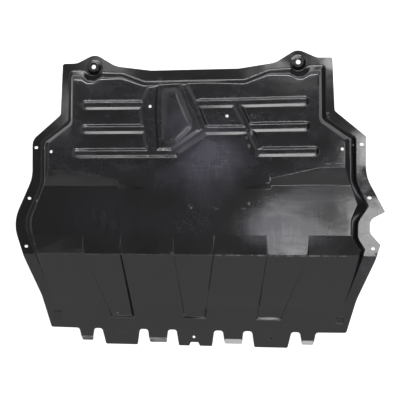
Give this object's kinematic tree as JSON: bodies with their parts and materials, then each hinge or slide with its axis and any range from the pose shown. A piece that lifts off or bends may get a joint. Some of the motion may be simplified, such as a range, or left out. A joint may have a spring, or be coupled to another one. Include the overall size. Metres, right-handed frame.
{
  "type": "engine splash shield",
  "caption": "Moulded undertray with a dished floor, rear stiffening ribs, ears with bolt holes, side slots and hooked front tabs.",
  "frame": {"origin": "middle of the footprint, at the lowest point, which is the tip of the turned down front lips", "axes": "+X across the car towards the side with the edge notch, +Y towards the rear edge with the two ears, +Z away from the engine, towards the road"},
  "size_m": [0.9866, 0.7848, 0.0781],
  "materials": {
    "black_plastic": "glossy black moulded polypropylene with scuffs"
  },
  "bodies": {
    "root": {"splash_shield": "black_plastic"}
  },
  "joints": []
}
